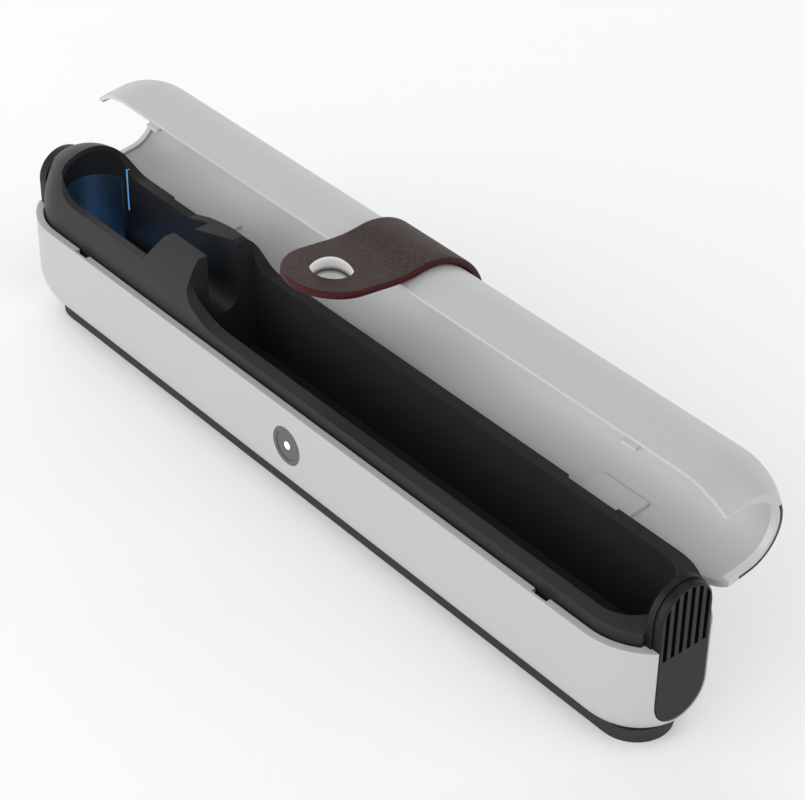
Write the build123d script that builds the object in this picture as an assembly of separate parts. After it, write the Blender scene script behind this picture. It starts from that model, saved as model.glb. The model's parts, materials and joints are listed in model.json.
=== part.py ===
from build123d import *
from math import atan2, cos, hypot, pi, sin, sqrt
import os

# A pocket steriliser case for one toothbrush. X runs along the case, -Y is the front with
# the button, +Y is the hinge side, Z is up, and the origin is the centre of the rest face.
# All sizes are in millimetres. The lid is drawn shut and then turned to its open rest pose.

# Case
case_length = 226.0
case_width = 29.2
base_depth = 28.8
lid_depth = 20.9
wall = 1.8
lid_front_wall = 1.0
corner_radius = 19.1
end_face_width = 15.5
parting_gap = 0.2
lid_open_angle = 81.5

# Foot pad under the belly
pad_thickness = 0.6
pad_width = 17.4
pad_end_inset = 3.5
glue_gap = 0.05

# Overshoot of every cutting solid past the face it opens
overshoot = 1.0

# End caps
cap_side_margin = 0.45
cap_face_height = 2.1
cap_flange_lip = 0.4
cap_flange_thickness = 1.6
cap_fit_gap = 0.1
cap_edge_chamfer = 0.35
flute_count = 6
flute_pitch = 2.26
flute_width = 1.15
flute_depth = 1.2
flute_margin = 0.55
flute_drop_below_rim = 3.1

# Tray that lines the base
tray_gap = 0.5
tray_end_gap = 0.2
tray_skirt = 2.6
bay_end_inset = 7.1
tub_wall = 1.4
tray_floor = 1.4
under_tray_space = 10.6
chamber_step = 4.0
tray_front_height = 3.2
tray_back_height = 7.2
chamber_wall_height = 8.9
bulkhead_height = 16.2
dome_inset = 13.0
dome_fall_run = 9.0
hood_wall = 1.4
chamber_length = 52.0
bulkhead_length = 18.0
front_rise_run = 4.5
back_rise_run = 25.0
back_peak_length = 2.0
front_fall_run = 15.0
front_fall_height = 7.5
back_fall_run = 6.0
back_fall_height = 6.0
neck_slot_width = 9.0
neck_slot_drop = 1.5
swing_clearance = 0.3

# Latch tabs on the lid's front edge, and their notches in the base
latch_end_inset = 28.5
latch_width = 4.2
latch_drop = 1.2
latch_thickness = 0.8
latch_clearance = 0.2

# Hinges
hinge_end_inset = 40.3
hinge_width = 14.6
knuckle_radius = 1.6
knuckle_gap = 0.2
lid_knuckle_width = 6.0
hinge_pin_radius = 0.7
hinge_pin_clearance = 0.03
leaf_thickness = 0.9
leaf_gap = 0.1
leaf_height = 7.0
leaf_edge_offset = 0.6
arm_thickness = 1.4
hinge_clearance = 0.35
leaf_screw_spacing = 8.0
leaf_screw_head_radius = 1.2
leaf_screw_head_height = 0.5
leaf_screw_shank_radius = 0.55
leaf_screw_bite = 1.0
leaf_screw_clearance = 0.03

# Strap
strap_width = 23.0
strap_thickness = 1.8
strap_gap = 0.25
strap_back_start = 1.6
strap_bend_height = 1.2
strap_rest_bend = 15.0
strap_slack = 0.7
bend_gap = 0.2
snap_cap_radius = 5.0
snap_cap_height = 2.1
snap_post_radius = 1.5
snap_magnet_radius = 4.2
snap_magnet_thickness = 0.9
snap_clearance = 0.05
strap_rivet_spacing = 12.0
strap_rivet_height = 4.2
strap_rivet_head_radius = 2.0
strap_rivet_head_height = 0.7
strap_rivet_shank_radius = 0.8
strap_rivet_bite = 1.3
strap_rivet_clearance = 0.03

# Dark trim along the rear half of each lid end
trim_width = 0.8
trim_depth = 0.8
trim_front_reach = 2.6
trim_end_height = 3.0

# Power button with its light
button_drop = 10.3
button_radius = 4.9
button_clearance = 0.1
button_recess = 0.15
button_flange_radius = 5.9
button_flange_thickness = 0.7
button_seat_gap = 0.3
button_travel = 0.5
button_dish_radius = 3.9
button_dish_depth = 0.12
lens_radius = 1.0
lens_clearance = 0.03
button_board_length = 15.0
button_board_height = 10.0
button_board_thickness = 0.5
switch_spacing = 7.6
switch_size = 2.6
switch_end_gap = 0.05
switch_length = 0.35
led_size = 1.6
led_height = 0.3

# Germicidal lamp parts
uv_window_side_inset = 2.4
uv_window_round_inset = 5.9
uv_window_bulkhead_inset = 3.5
uv_window_thickness = 1.0
uv_window_ledge = 1.5
uv_window_clearance = 0.1
uv_board_overhang = 3.0
uv_board_side_inset = 0.5
uv_board_thickness = 1.0
uv_led_size = 3.5
uv_led_height = 1.2
uv_led_count = 3
uv_led_end_inset = 8.0
uv_stand_off = 1.6
uv_stand_off_length = 4.0
reflector_thickness = 0.8
reflector_clearance = 0.05
reflector_height = 7.6
light_guide_width = 1.2
light_guide_depth = 0.7
light_guide_height = 12.0
light_guide_rise = 1.6
light_guide_clearance = 0.05

# Electronics under the tray
main_board_end_inset = 4.0
main_board_length = 56.0
main_board_width = 15.0
main_board_thickness = 1.0
main_board_gap = 1.0
controller_size = 7.0
charger_size = 5.0
driver_size = 4.0
chip_height = 1.0
chip_centre_inset = 34.0
chip_pitch = 10.0
board_post_radius = 2.2
board_screw_insets = (17.0, 48.5)
battery_length = 60.0
battery_side_space = 5.3
battery_thickness = 6.0
battery_edge_radius = 1.5
battery_lift = 3.0
battery_rib_thickness = 2.0
battery_rib_spacing = 24.0
battery_pad_length = 14.0
battery_pad_width = 12.0
battery_pad_spacing = 36.0
contact_gap = 0.05
port_width = 8.94
port_height = 3.2
port_depth = 7.0
port_shell = 0.35
port_recess = 0.5
port_back = 1.2
port_clearance = 0.2
port_tongue_width = 6.6
port_tongue_thickness = 0.7
tray_screw_end_inset = 21.0
tray_screw_bulkhead_inset = 5.0
tray_screw_battery_gap = 7.0
tray_post_radius = 2.6
screw_radius = 1.0
screw_head_radius = 1.9
screw_head_height = 1.2
screw_length = 6.5
screw_clearance = 0.1
lid_switch_length = 6.0
lid_switch_width = 1.8
lid_switch_height = 4.0
lid_switch_gap = 0.5

# Values worked out from the sizes above
half_length = case_length / 2
half_width = case_width / 2
low_axis_z = pad_thickness + half_width
rim_z = pad_thickness + base_depth
lid_rim_z = rim_z + parting_gap
crown_z = rim_z + lid_depth
high_axis_z = crown_z - half_width
corner_y = half_width - corner_radius
corner_x = half_length - sqrt(corner_radius**2 - (end_face_width / 2 - corner_y) ** 2)
hinge_y = half_width
hinge_z = rim_z + parting_gap / 2
hinge_line = Axis((0, hinge_y, hinge_z), (1, 0, 0))
inner_y = half_width - wall
lid_end_x = half_length - cap_face_height
flange_back_x = lid_end_x - cap_flange_thickness
tray_end_x = flange_back_x - tray_end_gap
tray_inset = wall + tray_gap
cap_face_width = end_face_width - 2 * cap_side_margin
cap_flange_width = cap_face_width + 2 * cap_flange_lip
switch_stack = button_travel + switch_end_gap + switch_length
button_stack = button_seat_gap + button_flange_thickness + switch_stack
tub_half = inner_y - button_stack - button_board_thickness - leaf_gap
bay_half = tub_half - tub_wall
bay_end_x = half_length - bay_end_inset - bay_half
bay_floor_z = pad_thickness + wall + under_tray_space + tray_floor
chamber_floor_z = bay_floor_z + chamber_step
dome_end_x = -half_length + dome_inset
bulkhead_left_x = -half_length + chamber_length
bulkhead_right_x = bulkhead_left_x + bulkhead_length
latch_x = half_length - latch_end_inset
hinge_x = half_length - hinge_end_inset
uv_window_left_x = -half_length + bay_end_inset + uv_window_round_inset
uv_window_right_x = bulkhead_left_x - uv_window_bulkhead_inset
uv_window_centre_x = (uv_window_left_x + uv_window_right_x) / 2
uv_window_length = uv_window_right_x - uv_window_left_x
uv_window_width = 2 * (bay_half - uv_window_side_inset)
uv_board_length = uv_window_length + 2 * uv_board_overhang
uv_board_width = uv_window_width - 2 * uv_board_side_inset
uv_led_pitch = (uv_window_length - 2 * uv_led_end_inset) / (uv_led_count - 1)
main_board_left_x = -half_length + main_board_end_inset
main_board_height = bay_floor_z - tray_floor - main_board_gap - main_board_thickness
chip_centre_x = -half_length + chip_centre_inset
board_screw_xs = [-half_length + inset for inset in board_screw_insets]
tray_screw_left_x = bulkhead_right_x + tray_screw_bulkhead_inset
battery_left_x = tray_screw_left_x + tray_screw_battery_gap
battery_centre_x = battery_left_x + battery_length / 2
battery_width = 2 * (inner_y - battery_side_space)
battery_height = pad_thickness + wall + battery_lift
tray_screw_middle_x = battery_left_x + battery_length + tray_screw_battery_gap
tray_screw_right_x = half_length - tray_screw_end_inset
tray_screw_xs = (tray_screw_left_x, tray_screw_middle_x, tray_screw_right_x)
leaf_outer_y = inner_y - leaf_gap
leaf_inner_y = leaf_outer_y - leaf_thickness
button_z = rim_z - button_drop
button_board_y = -tub_half - leaf_gap
sky_z = crown_z + half_width


def corner_half_width(x, inset):
    """Half width of the case outline at a place in its rounded end."""
    return corner_y + sqrt((corner_radius - inset) ** 2 - (x - corner_x) ** 2)


def half_outline(inset, end_x, base_y=0.0):
    """One side of the case outline in plan, closed along the line y = base_y."""
    side_y = half_width - inset
    end_y = corner_half_width(end_x, inset)
    mid_x = (corner_x + end_x) / 2
    mid_y = corner_half_width(mid_x, inset)
    edges = [
        Line((-end_x, base_y), (-end_x, end_y)),
        ThreePointArc((-end_x, end_y), (-mid_x, mid_y), (-corner_x, side_y)),
        Line((-corner_x, side_y), (corner_x, side_y)),
        ThreePointArc((corner_x, side_y), (mid_x, mid_y), (end_x, end_y)),
        Line((end_x, end_y), (end_x, base_y)),
        Line((end_x, base_y), (-end_x, base_y)),
    ]
    return make_face(edges)


def case_half_round(inset, end_x, axis_z, upward):
    """Rounded lower or upper half of the case, turned about its long axis."""
    face = Pos(0, 0, axis_z) * half_outline(inset, end_x)
    direction = (1, 0, 0) if upward else (-1, 0, 0)
    return revolve(face, Axis((0, 0, axis_z), direction), 180)


def case_straight(inset, end_x, low_z, high_z):
    """Upright stretch of the case between two heights."""
    side = half_outline(inset, end_x)
    return Pos(0, 0, low_z) * extrude(side + mirror(side, Plane.XZ), high_z - low_z)


def base_form(inset, end_x, top_z):
    lower = case_half_round(inset, end_x, low_axis_z, False)
    return lower + case_straight(inset, end_x, low_axis_z, top_z)


def lid_form(inset, end_x, low_z):
    upper = case_half_round(inset, end_x, high_axis_z, True)
    return case_straight(inset, end_x, low_z, high_axis_z) + upper


def block(x0, x1, y0, y1, z0, z1):
    """Rectangular block between two corners."""
    centre = ((x0 + x1) / 2, (y0 + y1) / 2, (z0 + z1) / 2)
    return Pos(*centre) * Box(x1 - x0, y1 - y0, z1 - z0)


def rod(axis, centre, radius, length):
    """Cylinder along X, Y or Z about a centre point."""
    turn = {"x": Rot(0, 90, 0), "y": Rot(90, 0, 0), "z": Rot(0, 0, 0)}[axis]
    return Pos(*centre) * turn * Cylinder(radius, length)


def end_stadium(radius, x0, x1, low_z=None):
    """Upright slot shape seen from the end, between two stations along X."""
    length = x1 - x0
    middle = (x0 + x1) / 2
    low = low_axis_z if low_z is None else low_z
    body = block(x0, x1, -radius, radius, low, high_axis_z)
    body += rod("x", (middle, 0, high_axis_z), radius, length)
    if low_z is None:
        body += rod("x", (middle, 0, low_axis_z), radius, length)
    return body


def plan_slot(half, end_centre_x, low_z, high_z):
    """Long slot in plan with round ends, between two heights."""
    outline = SlotCenterToCenter(2 * end_centre_x, 2 * half)
    return Pos(0, 0, low_z) * extrude(outline, high_z - low_z)


def open_lid(shape):
    """Turn a piece of the shut lid to the open rest pose."""
    return shape.rotate(hinge_line, -lid_open_angle)


def swing_envelope(inset=0.0):
    """Space inside the circle that the inner edge of the lid's front wall swings on."""
    outline = half_outline(wall + swing_clearance + inset, tray_end_x, -hinge_y)
    face = Pos(0, 0, hinge_z) * mirror(outline, Plane.XZ)
    return revolve(face, Axis((0, hinge_y, hinge_z), (-1, 0, 0)), 180)


# Base


def latch_notches():
    notches = Part()
    depth = latch_drop + latch_clearance
    outer_y = inner_y + 2 * latch_clearance + latch_thickness
    for x in (-latch_x, latch_x):
        half = latch_width / 2 + latch_clearance
        notches += block(x - half, x + half, -outer_y, 0, rim_z - depth, rim_z + wall)
    return notches


def hinge_wall_gap(x, low_z, high_z):
    """Gap in a rear wall that lets the knuckles of one hinge through."""
    half = hinge_width / 2 + hinge_clearance
    return block(x - half, x + half, leaf_outer_y, hinge_y + wall, low_z, high_z)


def knuckle_room(x):
    length = hinge_width + 2 * hinge_clearance
    return rod("x", (x, hinge_y, hinge_z), knuckle_radius + hinge_clearance, length)


def shell_post(x, radius, top_z, clamped):
    """Screw post that stands on the inside of the belly, under a clamped sheet."""
    room = base_form(wall / 2, tray_end_x, rim_z)
    post = rod("z", (x, 0, top_z / 2), radius, top_z) & room
    pilot_depth = screw_length - clamped
    return post - rod("z", (x, 0, top_z - pilot_depth / 2), screw_radius, pilot_depth)


def battery_ribs():
    room = base_form(wall / 2, tray_end_x, rim_z)
    ribs = Part()
    for step in (-1, 0, 1):
        x = battery_centre_x + step * battery_rib_spacing
        low_x = x - battery_rib_thickness / 2
        high_x = x + battery_rib_thickness / 2
        half = battery_width / 2
        ribs += block(low_x, high_x, -half, half, 0, battery_height - contact_gap) & room
    return ribs


def leaf_screw_places(x, side):
    """Screw centres of one hinge leaf, below or above the parting line."""
    z = hinge_z + side * (leaf_edge_offset + leaf_height / 2)
    return [(x + dx, z) for dx in (-leaf_screw_spacing / 2, leaf_screw_spacing / 2)]


def leaf_screw_holes(x, side):
    holes = Part()
    length = leaf_screw_bite + leaf_gap + leaf_thickness
    middle_y = leaf_inner_y + length / 2
    for place_x, z in leaf_screw_places(x, side):
        radius = leaf_screw_shank_radius + leaf_screw_clearance
        holes += rod("y", (place_x, middle_y, z), radius, length)
    return holes


def leaf_seat(x, side):
    """Seat of one hinge leaf in a rear wall, where the wall curves in over it."""
    near_z = hinge_z + side * leaf_edge_offset
    far_z = near_z + side * (leaf_height + leaf_gap)
    half = hinge_width / 2 + leaf_gap
    seat_y = leaf_outer_y + leaf_gap
    return block(x - half, x + half, leaf_inner_y - wall, seat_y, *sorted((near_z, far_z)))


def lower_shell():
    shell = base_form(0, half_length, rim_z)
    shell -= base_form(wall, flange_back_x, rim_z + wall)
    for end in (1, -1):
        inner_x = end * (flange_back_x - cap_fit_gap)
        shoulder_x = end * (lid_end_x + contact_gap)
        outer_x = end * (half_length + wall)
        pocket = end_stadium(cap_flange_width / 2 + cap_fit_gap, *sorted((inner_x, shoulder_x)))
        mouth = end_stadium(cap_face_width / 2 + cap_fit_gap, *sorted((inner_x, outer_x)))
        shell -= pocket + mouth
    for x in tray_screw_xs:
        post_z = bay_floor_z - tray_floor - contact_gap
        shell += shell_post(x, tray_post_radius, post_z, tray_floor)
    for x in board_screw_xs:
        post_z = main_board_height - contact_gap
        shell += shell_post(x, board_post_radius, post_z, main_board_thickness)
    shell += battery_ribs()
    shell -= latch_notches()
    for x in (-hinge_x, hinge_x):
        gap_low_z = hinge_z - leaf_edge_offset - arm_thickness - hinge_clearance
        shell -= hinge_wall_gap(x, gap_low_z, rim_z + wall)
        shell -= knuckle_room(x) + leaf_seat(x, -1)
        shell -= leaf_screw_holes(x, -1)
    hole_radius = button_radius + button_clearance
    return shell - rod("y", (0, -half_width, button_z), hole_radius, 4 * wall)


def base_pad():
    half = pad_width / 2
    edge_z = low_axis_z - sqrt(half_width**2 - half**2)
    pad = plan_slot(half, half_length - pad_end_inset - half, 0, edge_z)
    return pad - case_half_round(-glue_gap, half_length, low_axis_z, False)


def end_cap():
    """Cap of the right end: a flange behind the shell and a fluted face in its mouth."""
    face_radius = cap_face_width / 2
    face = end_stadium(face_radius, lid_end_x, half_length)
    rim_edges = face.faces().sort_by(Axis.X)[-1].edges()
    face = chamfer(rim_edges, cap_edge_chamfer)
    flange = end_stadium(cap_flange_width / 2, flange_back_x + contact_gap, lid_end_x)
    flutes = Part()
    low_z = rim_z - flute_drop_below_rim
    for index in range(flute_count):
        y = (index - (flute_count - 1) / 2) * flute_pitch
        side = y - flute_width / 2
        flutes += block(
            half_length - flute_depth, half_length + overshoot, side, side + flute_width, low_z, sky_z
        )
    inner = end_stadium(face_radius - flute_margin, lid_end_x, half_length + overshoot)
    return face + flange - (flutes & inner)


def port_z():
    return main_board_height + main_board_thickness + port_height / 2


def left_cap():
    """Mirrored cap whose lower part has the mouth of the charging port."""
    cap = mirror(end_cap(), Plane.YZ)
    straight = port_width - port_height
    mouth = SlotCenterToCenter(straight, port_height + 2 * port_clearance)
    cutter = Plane.YZ * mouth
    depth = cap_face_height + cap_flange_thickness + 2 * overshoot
    return cap - Pos(-half_length - overshoot, 0, port_z()) * extrude(cutter, depth)


# Tray


def sky_cut(rise_run, peak_length, fall_run, fall_height, low_height, front):
    """Everything above the tray's top edge along one side of the case."""
    step = rim_z + chamber_wall_height
    peak = rim_z + bulkhead_height
    low = rim_z + low_height
    far_x = half_length + wall
    arc_mid = pi / 4
    peak_x = bulkhead_right_x - peak_length
    mid_x = bulkhead_right_x + fall_run * (1 - cos(arc_mid))
    mid_z = low + fall_height * (1 - sin(arc_mid))
    edges = [
        Line((dome_end_x, sky_z), (dome_end_x, crown_z)),
        Spline(
            (dome_end_x, crown_z),
            (dome_end_x + dome_fall_run, step),
            tangents=[(0, -1), (1, 0)],
        ),
        Line((dome_end_x + dome_fall_run, step), (peak_x - rise_run, step)),
        Line((peak_x - rise_run, step), (peak_x, peak)),
        Line((peak_x, peak), (bulkhead_right_x, peak)),
        Line((bulkhead_right_x, peak), (bulkhead_right_x, low + fall_height)),
        Spline(
            (bulkhead_right_x, low + fall_height),
            (mid_x, mid_z),
            (bulkhead_right_x + fall_run, low),
            tangents=[(0, -1), (1, 0)],
        ),
        Line((bulkhead_right_x + fall_run, low), (far_x, low)),
        Line((far_x, low), (far_x, sky_z)),
        Line((far_x, sky_z), (dome_end_x, sky_z)),
    ]
    return extrude(Plane.XZ * make_face(edges), case_width if front else -case_width)


def tray_solid():
    """The tray's outside, before its bay and chamber are hollowed out."""
    skirt_low = rim_z - tray_skirt
    skirt = case_straight(tray_inset, tray_end_x, skirt_low, hinge_z)
    upper = lid_form(tray_inset, tray_end_x, hinge_z) & swing_envelope()
    front_fall = (front_fall_run, front_fall_height, tray_front_height)
    back_fall = (back_fall_run, back_fall_height, tray_back_height)
    upper -= sky_cut(front_rise_run, bulkhead_length - front_rise_run, *front_fall, True)
    upper -= sky_cut(back_rise_run, back_peak_length, *back_fall, False)
    tub = plan_slot(tub_half, bay_end_x, bay_floor_z - tray_floor, skirt_low)
    return skirt + upper + tub


def hood_solid():
    """Walls and roof of the hood over the chamber's left end."""
    room = lid_form(tray_inset + hood_wall, tray_end_x - hood_wall, hinge_z)
    room &= swing_envelope(hood_wall)
    hood = block(-half_length, dome_end_x, -half_width, half_width, hinge_z, sky_z)
    return hood - room


def tray_hollows():
    """Bay for the handle, chamber for the head and slot for the neck."""
    slot = plan_slot(bay_half, bay_end_x, bay_floor_z, sky_z)
    bay = slot & block(bulkhead_right_x, half_length, -half_width, half_width, 0, sky_z)
    chamber_box = block(
        -half_length, bulkhead_left_x, -half_width, half_width, chamber_floor_z, sky_z
    )
    under = block(
        -half_length,
        bulkhead_left_x,
        -half_width,
        half_width,
        0,
        chamber_floor_z - tray_floor,
    )
    half = neck_slot_width / 2
    slot_z = rim_z - neck_slot_drop
    x0 = bulkhead_left_x - overshoot
    x1 = bulkhead_right_x + overshoot
    neck = block(x0, x1, -half, half, slot_z + half, sky_z)
    neck += rod("x", ((x0 + x1) / 2, 0, slot_z + half), half, x1 - x0)
    pocket = block(
        bulkhead_left_x + 2 * tub_wall,
        bulkhead_right_x - 2 * tub_wall,
        -bay_half,
        bay_half,
        0,
        slot_z - 2 * tub_wall,
    )
    return bay + (slot & chamber_box) - hood_solid() + under + neck + pocket


def tray_hinge_room():
    """Room in the tray's rear edge for the hinge leaves."""
    room = Part()
    half = hinge_width / 2 + hinge_clearance
    for x in (-hinge_x, hinge_x):
        room += block(x - half, x + half, leaf_inner_y - hinge_clearance, half_width, 0, sky_z)
    return room


def uv_window_place(grow):
    """Rebate of the quartz window in the chamber floor, grown by a clearance."""
    half_x = uv_window_length / 2 + grow
    half_y = uv_window_width / 2 + grow
    low_z = chamber_floor_z - uv_window_thickness
    return block(
        uv_window_centre_x - half_x,
        uv_window_centre_x + half_x,
        -half_y,
        half_y,
        low_z,
        chamber_floor_z,
    )


def uv_light_opening():
    half_x = uv_window_length / 2 - uv_window_ledge
    half_y = uv_window_width / 2 - uv_window_ledge
    return block(
        uv_window_centre_x - half_x,
        uv_window_centre_x + half_x,
        -half_y,
        half_y,
        chamber_floor_z - 2 * tray_floor,
        chamber_floor_z,
    )


def uv_stand_offs():
    """Two feet under the chamber floor that carry the lamp board."""
    top_z = chamber_floor_z - tray_floor
    reach = uv_board_length / 2
    feet = Part()
    for side in (-1, 1):
        outer_x = uv_window_centre_x + side * reach
        inner_x = outer_x - side * uv_stand_off_length
        x0, x1 = sorted((inner_x, outer_x))
        half = uv_board_width / 2
        feet += block(x0, x1, -half, half, top_z - uv_stand_off, top_z)
    return feet


def light_guide_box(grow):
    """Upright light guide let into the rear wall of the chamber."""
    x = -bay_end_x
    half = light_guide_width / 2 + grow
    top_z = rim_z + chamber_wall_height + light_guide_rise
    low_z = top_z - light_guide_height
    outer_y = bay_half + light_guide_depth + grow
    return block(x - half, x + half, bay_half, outer_y, low_z - grow, top_z + grow)


def inner_tray():
    tray = tray_solid() - tray_hollows() - tray_hinge_room()
    tray += uv_stand_offs()
    tray -= uv_window_place(uv_window_clearance)
    tray -= uv_light_opening()
    tray -= light_guide_box(light_guide_clearance)
    for x in tray_screw_xs:
        tray -= rod("z", (x, 0, bay_floor_z), screw_radius + screw_clearance, 4 * tray_floor)
    return tray


# Germicidal lamp


def uv_window():
    return uv_window_place(0)


def uv_board_top_z():
    return chamber_floor_z - tray_floor - uv_stand_off - contact_gap


def uv_board():
    half = uv_board_length / 2
    top_z = uv_board_top_z()
    return block(
        uv_window_centre_x - half,
        uv_window_centre_x + half,
        -uv_board_width / 2,
        uv_board_width / 2,
        top_z - uv_board_thickness,
        top_z,
    )


def uv_leds():
    leds = []
    for index in range(uv_led_count):
        x = uv_window_centre_x + (index - (uv_led_count - 1) / 2) * uv_led_pitch
        z = uv_board_top_z() + uv_led_height / 2
        leds.append(Pos(x, 0, z) * Box(uv_led_size, uv_led_size, uv_led_height))
    return Compound(children=leds)


def uv_reflector():
    """Bent sheet that lines the round end of the chamber."""
    outer = bay_half - reflector_clearance
    low_z = chamber_floor_z + reflector_clearance
    high_z = rim_z + reflector_height
    ring = plan_slot(outer, bay_end_x, low_z, high_z)
    inner = outer - reflector_thickness
    ring -= plan_slot(inner, bay_end_x, low_z - overshoot, high_z + overshoot)
    stop_x = -bay_end_x - light_guide_width
    return ring & block(-half_length, stop_x, -half_width, half_width, 0, sky_z)


# Electronics


def main_board():
    half = main_board_width / 2
    board = block(
        main_board_left_x,
        main_board_left_x + main_board_length,
        -half,
        half,
        main_board_height,
        main_board_height + main_board_thickness,
    )
    for x in board_screw_xs:
        place = (x, 0, main_board_height)
        board -= rod("z", place, screw_radius + screw_clearance, 4 * main_board_thickness)
    return board


def board_chips():
    """Controller, charger and driver in a row on the main board."""
    z = main_board_height + main_board_thickness + chip_height / 2
    chips = []
    for index, size in enumerate((controller_size, charger_size, driver_size)):
        x = chip_centre_x + (index - 1) * chip_pitch
        chips.append(Pos(x, 0, z) * Box(size, size, chip_height))
    return Compound(children=chips)


def pan_screw(x, seat_z):
    """Screw with its head on a seat and its shank pointing down."""
    head = rod("z", (x, 0, seat_z + screw_head_height / 2), screw_head_radius, screw_head_height)
    shank_radius = screw_radius - contact_gap
    shank_length = screw_length - contact_gap
    return head + rod("z", (x, 0, seat_z - shank_length / 2), shank_radius, shank_length)


def board_screws():
    seat_z = main_board_height + main_board_thickness
    return Compound(children=[pan_screw(x, seat_z) for x in board_screw_xs])


def tray_screws():
    return Compound(children=[pan_screw(x, bay_floor_z) for x in tray_screw_xs])


def battery():
    half_x = battery_length / 2
    half_y = battery_width / 2
    cell = block(
        battery_centre_x - half_x,
        battery_centre_x + half_x,
        -half_y,
        half_y,
        battery_height,
        battery_height + battery_thickness,
    )
    return fillet(cell.edges().filter_by(Axis.X), battery_edge_radius)


def battery_pads():
    low_z = battery_height + battery_thickness
    high_z = bay_floor_z - tray_floor - contact_gap
    pads = []
    for side in (-1, 1):
        x = battery_centre_x + side * battery_pad_spacing / 2
        size = (battery_pad_length, battery_pad_width, high_z - low_z)
        pads.append(Pos(x, 0, (low_z + high_z) / 2) * Box(*size))
    return Compound(children=pads)


def charge_port():
    """Charging socket: a metal sleeve with a contact tongue on a rear block."""
    straight = port_width - port_height
    front_x = -half_length + port_recess
    sleeve = extrude(Plane.YZ * SlotCenterToCenter(straight, port_height), port_depth)
    bore_height = port_height - 2 * port_shell
    bore = extrude(Plane.YZ * SlotCenterToCenter(straight, bore_height), port_depth - port_back)
    tongue_length = port_depth - 2 * port_recess
    tongue = block(
        port_recess,
        port_recess + tongue_length,
        -port_tongue_width / 2,
        port_tongue_width / 2,
        -port_tongue_thickness / 2,
        port_tongue_thickness / 2,
    )
    return Pos(front_x, 0, port_z()) * (sleeve - bore + tongue)


def lid_switch():
    """Safety switch under the right latch notch, on the outside of the tub."""
    top_z = rim_z - latch_drop - latch_clearance - tray_skirt - lid_switch_gap
    half = lid_switch_length / 2
    outer_y = -tub_half - contact_gap
    inner_y_side = outer_y - lid_switch_width
    return block(
        latch_x - half, latch_x + half, inner_y_side, outer_y, top_z - lid_switch_height, top_z
    )


# Power button


def button_board():
    return block(
        -button_board_length / 2,
        button_board_length / 2,
        button_board_y - button_board_thickness,
        button_board_y,
        button_z - button_board_height / 2,
        button_z + button_board_height / 2,
    )


def button_back_y():
    return -inner_y + button_seat_gap + button_flange_thickness


def tact_switches():
    board_face_y = button_board_y - button_board_thickness
    tip_y = button_back_y() + button_travel + switch_end_gap
    switches = []
    for side in (-1, 1):
        x = side * switch_spacing / 2
        size = (switch_size, board_face_y - tip_y, switch_size)
        switches.append(Pos(x, (board_face_y + tip_y) / 2, button_z) * Box(*size))
    return Compound(children=switches)


def indicator_led():
    board_face_y = button_board_y - button_board_thickness
    place = Pos(0, board_face_y - led_height / 2, button_z)
    return place * Box(led_size, led_height, led_size)


def button_disc():
    """Metal disc with a retaining flange, a shallow dish and a hole for the lens."""
    face_y = -half_width + button_recess
    seat_y = -inner_y + button_seat_gap
    back_y = button_back_y()
    disc = rod("y", (0, (face_y + back_y) / 2, button_z), button_radius, back_y - face_y)
    flange_middle = (seat_y + back_y) / 2
    disc += rod("y", (0, flange_middle, button_z), button_flange_radius, back_y - seat_y)
    dish_middle = face_y + button_dish_depth / 2
    disc -= rod("y", (0, dish_middle, button_z), button_dish_radius, button_dish_depth)
    return disc - rod("y", (0, face_y, button_z), lens_radius + lens_clearance, 6 * wall)


def button_lens():
    face_y = -half_width + button_recess + button_dish_depth / 2
    back_y = button_back_y()
    return rod("y", (0, (face_y + back_y) / 2, button_z), lens_radius, back_y - face_y)


# Hinges


def hinge_leaf(x, side):
    """Leaf below (-1) or above (+1) the parting line, with its knuckles and arms."""
    near_z = hinge_z + side * leaf_edge_offset
    far_z = near_z + side * leaf_height
    arm_z = near_z + side * arm_thickness
    half = hinge_width / 2
    half_middle = lid_knuckle_width / 2
    plate = block(x - half, x + half, leaf_inner_y, leaf_outer_y, *sorted((near_z, far_z)))
    if side > 0:
        spans = [(-half_middle, half_middle)]
    else:
        outer = half_middle + knuckle_gap
        spans = [(-half, -outer), (outer, half)]
    leaf = plate
    for x0, x1 in spans:
        middle = x + (x0 + x1) / 2
        arm = block(x + x0, x + x1, leaf_inner_y, hinge_y, *sorted((near_z, arm_z)))
        barrel = rod("x", (middle, hinge_y, hinge_z), knuckle_radius, x1 - x0)
        leaf += arm + barrel
    bore_radius = hinge_pin_radius + hinge_pin_clearance
    leaf -= rod("x", (x, hinge_y, hinge_z), bore_radius, hinge_width + overshoot)
    for place_x, z in leaf_screw_places(x, side):
        head_y = leaf_inner_y + leaf_screw_head_height / 2
        head_radius = leaf_screw_head_radius + leaf_screw_clearance
        shank_radius = leaf_screw_shank_radius + leaf_screw_clearance
        leaf -= rod("y", (place_x, head_y, z), head_radius, leaf_screw_head_height)
        leaf -= rod("y", (place_x, head_y, z), shank_radius, 4 * leaf_thickness)
    return leaf


def hinge_pin(x):
    return rod("x", (x, hinge_y, hinge_z), hinge_pin_radius, hinge_width)


def leaf_screws(side):
    """Sunk screws that hold both leaves of one side."""
    screws = []
    length = leaf_thickness + leaf_gap + leaf_screw_bite - contact_gap
    head_y = leaf_inner_y + leaf_screw_head_height / 2
    shank_y = leaf_inner_y + length / 2
    for hinge in (-hinge_x, hinge_x):
        for x, z in leaf_screw_places(hinge, side):
            head = rod("y", (x, head_y, z), leaf_screw_head_radius, leaf_screw_head_height)
            screws.append(head + rod("y", (x, shank_y, z), leaf_screw_shank_radius, length))
    return Compound(children=screws)


# Lid, drawn shut


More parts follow.
